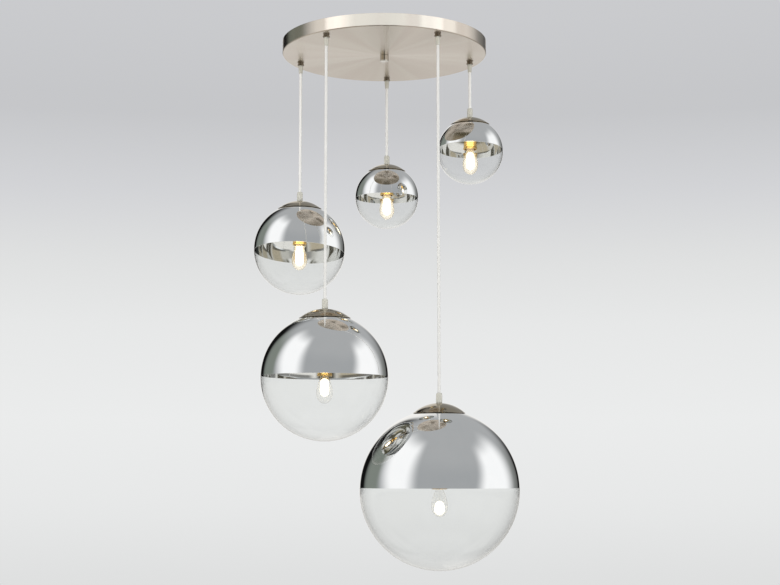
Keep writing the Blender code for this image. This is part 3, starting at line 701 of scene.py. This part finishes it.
def makeCanopy(values):
    # a shallow pan turned round the Z axis, with the five exits drilled through its plate
    _, _, low, high, radius = placeOf("canopy_pan")
    bottom, wall, edge, hole = low - high, values["wall"], values["edge"], values["centreHole"]
    outline = roundedOutline([
        (hole, bottom, fineEdge), (radius, bottom, edge), (radius, 0, softEdge), (radius - wall, 0, softEdge),
        (radius - wall, bottom + wall, edge - wall), (hole, bottom + wall, fineEdge),
    ], arcSteps=8)
    inside = np.linspace(values["ringsFrom"], radius - values["ringsEnd"], values["rings"])
    split = int(np.argmax(outline[:, 0] > 0.01))
    plate = np.stack((inside, np.full(len(inside), bottom)), axis=1)
    outline = np.vstack((outline[:split], plate, outline[split:]))
    pan = addPiece(
        "canopy_pan_fine", turnedSurface(outline, values["sides"]), "canopy", "brushed", "canopy_pan"
    )
    drills, reach = [], values["exitHole"]
    start, end = (bottom + off for off in values["drill"])
    for number in numbers:
        x, y = placeOf(f"gland_{number}")[:2]
        drill = [(0, start), (reach, start), (reach, end), (0, end)]
        drills.append(turnedSurface(drill, values["drillSides"], (x, y, 0)))
    cutter = meshObject("drills", *mergedParts(drills))
    cut = pan.modifiers.new("exits", "BOOLEAN")
    cut.object, cut.operation, cut.solver = cutter, "DIFFERENCE", "EXACT"
    bpy.context.view_layer.update()
    finished = bpy.data.meshes.new_from_object(pan.evaluated_get(bpy.context.evaluated_depsgraph_get()))
    pan.modifiers.clear()
    pan.data = finished
    finished.name = "canopy_pan_fine"
    bpy.data.objects.remove(cutter)
    shadeSmooth(finished)
    litAlone["canopy"].objects.link(pan)


makeCanopy(canopyValues)

nutValues = {"bore": 0.0033, "boreDepth": 0.009, "edge": 0.0022, "sides": 64}


def makeNut(values):
    # a round cap with a blind bore from above
    _, _, bottom, top, radius = placeOf("cap_nut")
    bore, boreEnd = values["bore"], top - values["boreDepth"]
    outline = roundedOutline([
        (0, bottom, 0), (radius, bottom, values["edge"]), (radius, top, softEdge), (bore, top, softEdge),
        (bore, boreEnd, softEdge), (0, boreEnd, 0),
    ])
    addPiece("cap_nut_fine", turnedSurface(outline, values["sides"]), "canopy", "nickel", "cap_nut")


makeNut(nutValues)

glandValues = {
    "bore": 0.00305, "socket": 0.0045, "neck": 0.0049, "collar": 0.0066, "collarHeight": 0.0045,
    "foot": 0.0005, "footHeight": 0.0009, "bandEnd": 0.0024, "waist": 0.0053, "waistStart": 0.0030, "flare": 0.0002,
    "nut": 0.0080, "nutHeight": 0.003, "nutFlat": 0.9, "pivotDepth": 0.0023, "sides": 48,
}


def makeGland(number, values):
    # a collar with a ball socket below the plate, a neck through it, and a lock nut with six flats above it
    x, y, mouth, top, _ = placeOf(f"gland_{number}")
    collarTop, nutBottom = mouth + values["collarHeight"], top - values["nutHeight"]
    bore, socket, neck, nut = values["bore"], values["socket"], values["neck"], values["nut"]
    collar, waist = values["collar"], values["waist"]
    outer = roundedOutline([
        (socket, mouth, fineEdge), (collar - values["foot"], mouth, softEdge),
        (collar, mouth + values["footHeight"], 0.0004), (collar, mouth + values["bandEnd"], 0.0005),
        (waist, mouth + values["waistStart"], softEdge), (waist + values["flare"], collarTop, 0),
        (neck, collarTop, 0), (neck, nutBottom, 0), (nut, nutBottom, softEdge), (nut, top, 0.0005),
        (bore, top, fineEdge),
    ])
    socketArc = arcPoints(socket, math.pi / 2, math.asin(bore / socket), 8, mouth + values["pivotDepth"])
    points, faces = turnedSurface(np.vstack((outer, socketArc[::-1])), values["sides"], (x, y, 0))
    # each flat lies at flat / cos(angle from its middle): what stands further out on the nut is drawn in to it
    offset = points[:, :2] - (x, y)
    angle, reach = np.arctan2(offset[:, 1], offset[:, 0]), np.linalg.norm(offset, axis=1)
    flat = values["nutFlat"] * nut / np.cos(angle % (tau / 6) - tau / 12)
    onNut = (points[:, 2] > nutBottom - 1e-6) & (reach > neck + 1e-4)
    points[:, :2] = (x, y) + offset * np.where(onNut, np.minimum(flat / reach, 1.0), 1.0)[:, None]
    addPiece(f"gland_{number}_fine", (points, faces), "canopy", "gland", f"gland_{number}")


for number in numbers:
    makeGland(number, glandValues)
print("canopy, nut and glands made")

reliefValues = {
    "ball": 0.0042, "neck": 0.0033, "shoulderDrop": 0.0033, "top": 0.0048, "end": 0.0037, "bore": 0.0028,
    "edge": 0.0004, "shoulderEdge": 0.0005, "rib": 0.00018, "ribPitch": 0.0022, "ribSteps": 44, "sides": 40,
    "cordGap": 0.00005,
}


def makeRelief(number, values):
    # a ball on a neck, then a taper whose radius is a straight line less a small wave: the shallow rings round it
    x, y, end, top, _ = placeOf(f"bend_relief_{number}")
    ball, bore, edge = values["ball"], values["bore"], values["edge"]
    pivot = top - ball
    shoulder = pivot - values["shoulderDrop"]
    ballArc = arcPoints(ball, math.pi - math.asin(values["neck"] / ball), math.asin(bore / ball), 16, pivot)
    height = np.linspace(end + 2 * edge, shoulder - 2 * values["shoulderEdge"], values["ribSteps"])
    share = (height - end) / (shoulder - end)
    taper = values["end"] + (values["top"] - values["end"]) * share
    taper = taper - values["rib"] * (0.5 - 0.5 * np.cos(tau * height / values["ribPitch"]))
    cut = values["shoulderEdge"]
    outline = np.vstack((
        [(bore, end), (values["end"] - edge, end), (values["end"], end + edge)],
        np.stack((taper, height), axis=1),
        [(values["top"], shoulder - cut), (values["top"] - cut, shoulder), (values["neck"], shoulder)],
        ballArc,
    ))
    body, cordEnd = f"relief_{number}", (x, y, end + 0.0001, top - 0.0012)
    addTurned(f"bend_relief_{number}", outline, values["sides"], body, "plastic")
    addCordEnd(f"cord_in_relief_{number}", cordEnd, 8, values["cordGap"], body, "cord")


gripValues = {
    "radius": 0.0056, "top": 0.0046, "height": 0.018, "taper": 0.003, "tail": 0.0049, "bore": 0.0028,
    "ferrule": 0.007, "cordGap": 0.0003, "sides": 40,
}


def makeGrip(number, values):
    # a clear barrel on the cap with its tail in the stem. Inside are the cord's end and the ferrule crimped on it
    x, y, tailEnd, top, _ = placeOf(f"cord_grip_{number}")
    base, tail, bore = top - values["height"], values["tail"], values["bore"]
    outline = roundedOutline([
        (bore, tailEnd, 0), (tail, tailEnd, softEdge), (tail, base, 0), (values["radius"], base, 0.0006),
        (values["radius"], top - values["taper"], 0.0015), (values["top"], top, 0.0008), (bore, top, 0.0004),
    ])
    body, gap, ferruleTop = f"pendant_{number}", values["cordGap"], base + values["ferrule"]
    addTurned(f"cord_grip_{number}", outline, values["sides"], body, "plastic")
    addCordEnd(f"cord_in_grip_{number}", (x, y, ferruleTop + 0.0001, top - 0.0001), 6, gap, body, "cord")
    addCordEnd(f"ferrule_{number}", (x, y, tailEnd + 0.0004, ferruleTop), 6, gap, body, "gland")


for number in numbers:
    makeRelief(number, reliefValues)
    makeGrip(number, gripValues)
print("reliefs and grips made")

capValues = {
    "wall": 0.001, "land": 0.002, "hole": 0.0052, "roll": (0.0001, 0.0004), "lip": (0.0004, 0.0003), "steps": 24,
    "sides": 128,
}


def domeArc(radius, height, rim, hole, steps):
    # the circle through the rim and the top: its radius is (radius^2 + height^2) / (2 height)
    curve = (radius**2 + height**2) / (2 * height)
    return arcPoints(curve, math.asin(hole / curve), math.asin(radius / curve), steps, rim + height - curve)


def makeCap(number, values):
    # a thin dome with a hole at its top and a rim whose outer edge is rolled down to the land it stands on
    _, _, rim, top, radius = placeOf(f"cap_{number}")
    reach, hole, land = top - rim, values["hole"], values["land"]  # the box ends at the hole's edge, below the top
    height = reach + hole**2 / (2 * ((radius**2 + reach**2) / (2 * reach)))
    outer = domeArc(radius, height, rim, hole, values["steps"])
    inner = domeArc(radius - land, height - values["wall"], rim, hole, values["steps"])
    rollIn, rollUp = values["roll"]
    outer[-1] = (radius - rollIn, rim + rollUp)
    lipOut, lipIn = values["lip"]
    lip = np.array([(radius - lipOut, rim), (radius - land + lipIn, rim)])
    outline = np.vstack((outer, lip, inner[::-1]))[::-1]
    addTurned(f"cap_{number}", outline, values["sides"], f"pendant_{number}", "cap")


globeValues = {
    "wall": 0.0012, "seam": 0.00005, "steps": 44, "sides": 160,
    # how far the coat's edge dips, in degrees: towards the back, and towards the right
    "coatTilt": ((6.0, 1.8), (0, 0), (3.3, 0.8), (-0.6, 0.3), (0, 0)),
    "coatRise": (-0.0070, -0.0015, 0.0035, 0.0015, 0.0030),  # and how far above the centre it ends
}


def makeGlobe(number, values):
    # two shells of one thin sphere with a hole at its top: the mirrored part above the coat's edge, the clear below.
    # The coat ends at a plane that rises to `rise` at the axis and falls by `slope` in each direction: a point of
    # the sphere at the angle a from +Z is on it where radius * (cos a + slope * sin a) = rise
    x, y, bottom, top, radius = placeOf(f"globe_{number}")
    centre = np.array((x, y, bottom + radius))
    inner, seam = radius - values["wall"], values["seam"]
    edge = math.acos((top - centre[2]) / radius)  # from the axis to the hole's edge
    innerEdge = math.asin(min(1, radius * math.sin(edge) / inner))
    steps, sides, body = values["steps"], values["sides"], f"pendant_{number}"
    back, right = (math.tan(math.radians(tilt)) for tilt in values["coatTilt"][number - 1])
    angles = np.arange(sides) * tau / sides
    slope = right * np.cos(angles) + back * np.sin(angles)
    coat = np.arctan(slope) + np.arccos(values["coatRise"][number - 1] / radius / np.sqrt(1 + slope**2))
    outer = sphereRings(radius, coat, edge, steps, sides, centre)
    inside = sphereRings(inner, innerEdge, coat, steps, sides, centre)
    surface = ringSurface(np.concatenate((outer, inside)))
    addPiece(f"globe_{number}_mirrored", surface, body, "mirror", f"globe_{number}")
    outer = sphereRings(radius, math.pi, coat + seam / radius, steps, sides, centre)[1:]
    inside = sphereRings(inner, coat + seam / inner, math.pi, steps, sides, centre)[:-1]
    surface = ringSurface(np.concatenate((outer, inside)), centre - ((0, 0, radius), (0, 0, inner)))
    addPiece(f"globe_{number}_clear", surface, body, "glass", f"globe_{number}")


stemValues = {
    "root": 0.0046, "crest": 0.00498, "bore": 0.0035, "pitch": 0.001, "threadShape": 0.8, "collar": 0.0075,
    "collarHeight": 0.008, "collarEdge": 0.0005, "socket": 0.0052, "socketDepth": 0.0065, "sides": 32,
}


def makeStem(number, values):
    # a threaded tube with a plain collar at its top, which takes the grip's tail
    x, y, end, top, _ = placeOf(f"stem_tube_{number}")
    shoulder, floor = top - values["collarHeight"], top - values["socketDepth"]
    root, collar, edge, bore, sides = (values[key] for key in ("root", "collar", "collarEdge", "bore", "sides"))
    thread = threadRings(
        end, shoulder, root, values["crest"], values["pitch"], sides, (x, y), values["threadShape"]
    )
    rest = roundedOutline([
        (root, shoulder, 0), (collar, shoulder, edge), (collar, top, edge), (values["socket"], top, fineEdge),
        (values["socket"], floor, 0), (bore, floor, 0), (bore, end, fineEdge),
    ])
    surface = ringSurface(np.concatenate((thread, turnedRings(rest[1:], sides, (x, y, 0)))))
    addPiece(f"stem_tube_{number}_fine", surface, f"pendant_{number}", "zinc", f"stem_tube_{number}")


for number in numbers:
    makeCap(number, capValues)
    makeGlobe(number, globeValues)
    makeStem(number, stemValues)
print("caps, globes and stems made")

holderValues = {
    "radius": 0.013, "entry": 0.0053, "neck": 0.0075, "neckLength": 0.006, "shoulder": 0.004, "lip": 0.014,
    "lipHeight": 0.004, "mouth": 0.0118, "mouthDepth": 0.010, "shell": 0.00725, "shellDepth": 0.034,
    "bore": 0.0035, "entryFloor": 0.0073, "sides": 64,
}


def makeHolder(number, values):
    # a turned brass barrel: lip, body, shoulder and neck outside, mouth, screw shell and cord entry inside
    _, _, mouth, top, _ = placeOf(f"lampholder_{number}")
    shoulderTop, entryFloor = top - values["neckLength"], top - values["entryFloor"]
    lipTop, step, floor = (mouth + values[key] for key in ("lipHeight", "mouthDepth", "shellDepth"))
    lip, radius, neck, entry = (values[key] for key in ("lip", "radius", "neck", "entry"))
    bore, shell, opening = (values[key] for key in ("bore", "shell", "mouth"))
    outline = roundedOutline([
        (lip, mouth, 0.0008), (lip, lipTop, 0.0008), (radius, lipTop, 0),
        (radius, shoulderTop - values["shoulder"], 0.0015), (neck, shoulderTop, 0.001), (neck, top, 0.0006),
        (entry, top, fineEdge), (entry, entryFloor, 0), (bore, entryFloor, 0), (bore, floor, 0), (shell, floor, 0),
        (shell, step, 0.0004), (opening, step, 0), (opening, mouth, softEdge),
    ])
    addTurned(f"lampholder_{number}", outline, values["sides"], f"pendant_{number}", "brass")


lampCapValues = {
    "pitch": 0.00282, "crest": 0.00694, "root": 0.0062, "turns": 5, "threadStart": 0.0048, "stepsPerPitch": 12,
    "skirt": 0.0084, "skirtHeight": 0.0035, "recess": 0.0070, "recessDepth": 0.0033, "taper": 0.0035,
    "top": 0.0035, "contact": 0.0022, "sides": 48,
}


def makeLampCap(number, values):
    # a skirt over the lamp's neck, a round screw thread, and a taper up to the contact
    x, y, bottom, top, _ = placeOf(f"lamp_cap_{number}")
    sides, root, contact, recess = values["sides"], values["root"], values["contact"], values["recess"]
    skirtTop, floor = bottom + values["skirtHeight"], bottom + values["recessDepth"]
    threadLow = bottom + values["threadStart"]
    threadHigh = threadLow + values["pitch"] * values["turns"]
    taperTop = threadHigh + values["taper"]
    skirt = roundedOutline([
        (0, floor, 0), (recess, floor, 0), (recess, bottom, softEdge), (values["skirt"], bottom, 0.0006),
        (values["skirt"], skirtTop, 0.0012), (root, skirtTop, 0), (root, threadLow, 0),
    ])
    thread = threadRings(
        threadLow, threadHigh, root, values["crest"], values["pitch"], sides, (x, y),
        stepsPerPitch=values["stepsPerPitch"],
    )
    tip = roundedOutline([
        (root, threadHigh, 0), (values["top"], taperTop, 0.0005), (contact, taperTop, 0), (contact, top, 0.0006),
        (0, top, 0),
    ])
    rings = (turnedRings(skirt[1:-1], sides, (x, y, 0)), thread, turnedRings(tip[1:-1], sides, (x, y, 0)))
    surface = ringSurface(np.concatenate(rings), ((x, y, skirt[0, 1]), (x, y, tip[-1, 1])))
    addPiece(f"lamp_cap_{number}_fine", surface, f"lamp_base_{number}", "nickel", f"lamp_cap_{number}")


lampValues = {
    "radius": 0.015, "neck": 0.0067, "neckLength": 0.009, "neckBlend": 0.004, "wall": 0.0008, "sides": 48,
    # the drop shape below the holder's mouth: across and down, as shares of the radius and the length
    "shape": ((0.46, 0.0), (0.52, 0.08), (0.70, 0.20), (0.93, 0.42), (1.0, 0.60), (0.93, 0.76), (0.70, 0.89),
              (0.36, 0.975), (0.0, 1.0)),
    "shapeSteps": 6,
    "glowing": (1, 2, 3),  # the photo shows the three far lamps glowing, and only the core of the two near ones
    # the lit core: its radius, and how far its top and its end lie below the holder's mouth
    "core": ((0.0078, 0.005, 0.041),) * 3 + ((0.0078, 0.004, 0.037), (0.0086, 0.021, 0.046)),
    "coreSteps": 5, "coreSides": 32,
    "foot": 0.0016, "footTop": (0.004, 0.0075), "footSpread": 1.6, "footSides": 24,
}


def makeLamp(number, values):
    # a thin drop of glass turned round its axis, with the lit core and its glass foot inside
    x, y, tip, top, _ = placeOf(f"lamp_glass_{number}")
    mouth = top - values["neckLength"]
    length, wall = mouth - tip, values["wall"]
    shape = smoothedOutline(values["shape"], values["shapeSteps"])
    shape[:, 0] = np.minimum(shape[:, 0], 1.0)

    def skin(radius, drop, neck):
        # the shape scaled to its radius and length, but no narrower than the neck beside the mouth
        body = np.stack((np.maximum(shape[:, 0] * radius, 0), mouth - shape[:, 1] * drop), axis=1)
        nearNeck = body[:, 1] > mouth - values["neckBlend"]
        body[:, 0] = np.where(nearNeck, np.minimum(np.maximum(body[:, 0], neck), radius), body[:, 0])
        return np.vstack(([(neck, top)], body))

    outer = skin(values["radius"], length, values["neck"])
    inner = skin(values["radius"] - wall, length - wall, values["neck"] - wall)
    body, look = f"lamp_{number}", "glowingLamp" if number in values["glowing"] else "lamp"
    addTurned(f"lamp_glass_{number}", np.vstack((outer[::-1], inner)), values["sides"], body, look)
    coreRadius, coreTop, coreEnd = values["core"][number - 1]
    outline = smoothedOutline([
        (0.0, -coreEnd), (0.55 * coreRadius, -coreEnd + 0.0018), (coreRadius, -coreEnd + 0.007),
        (0.94 * coreRadius, -coreTop - 0.008), (0.6 * coreRadius, -coreTop - 0.002), (0.0, -coreTop),
    ], values["coreSteps"])
    outline[:, 0] = np.maximum(outline[:, 0], 0)
    surface = turnedSurface(outline, values["coreSides"], (x, y, mouth))
    addPiece(f"lamp_core_{number}", surface, body, "core")
    foot, spread = values["foot"], values["footSpread"]
    footNeck, footTop = values["footTop"]
    outline = [
        (0, -coreTop + 0.0002), (foot, -coreTop + 0.0006), (foot, footNeck), (spread * foot, footTop), (0, footTop)
    ]
    surface = turnedSurface(outline, values["footSides"], (x, y, mouth))
    addPiece(f"lamp_foot_{number}", surface, body, "lamp")


for number in numbers:
    makeHolder(number, holderValues)
    makeLampCap(number, lampCapValues)
    makeLamp(number, lampValues)
print("lampholders and lamps made")

loomValues = {
    "crimp": (0.035, -0.035), "depth": 0.0115, "bend": 0.005, "bendGap": 0.006, "end": 0.004, "radius": 0.00275,
    "sides": 16, "sleeveRadius": 0.007, "sleeveStart": 0.027, "sleeveLength": 0.036, "sleeveSides": 32,
    "squeeze": 0.07, "squeezeWidth": 0.0016, "squeezePitch": 0.012,
}


def makeLoom(values):
    # each tail goes up out of its gland, round a quarter circle, and level to the crimp sleeve
    crimpX, crimpY = values["crimp"]
    bend, depth, tails = values["bend"], values["depth"], []
    for number in numbers:
        x, y = placeOf(f"gland_{number}")[:2]
        inward = np.array((crimpX - x, crimpY - y))
        reach = np.linalg.norm(inward)
        inward /= reach
        start = placeOf(f"bend_relief_{number}")[3] + 0.0003
        turn = np.linspace(-math.pi / 2, 0, 9)
        level = np.linspace(bend + values["bendGap"], reach - values["end"], 12)
        out = np.concatenate(([0.0], bend + bend * np.sin(turn), level))
        up = np.concatenate(([start], -depth - bend + bend * np.cos(turn), np.full(len(level), -depth)))
        path = np.stack((x + inward[0] * out, y + inward[1] * out, up), axis=1)
        tails.append(tubeSurface(path, values["radius"], values["sides"]))
    addPiece("wire_tails", mergedParts(tails), "canopy", "wire", "wiring_loom")
    # a bell curve every squeezePitch: three crimps squeeze the sleeve a little
    start, pitch = values["sleeveStart"], values["squeezePitch"]
    path = [(step, crimpY, -depth) for step in np.linspace(start, start + values["sleeveLength"], 40)]
    points, faces = tubeSurface(path, values["sleeveRadius"], values["sleeveSides"])
    fromCrimp = ((points[:, :1] - start) % pitch - pitch / 2) / values["squeezeWidth"]
    middle = np.array((crimpY, -depth))
    points[:, 1:] = middle + (points[:, 1:] - middle) * (1 - values["squeeze"] * np.exp(-fromCrimp**2))
    addPiece("crimp_sleeve", (points, faces), "canopy", "terminal", "wiring_loom")


makeLoom(loomValues)

for number in numbers:
    paint(f"glass_clip_{number}", "zinc")
paint("ceiling_bracket", "zinc")
paint("terminal_block", "terminal")
print("inside parts made")
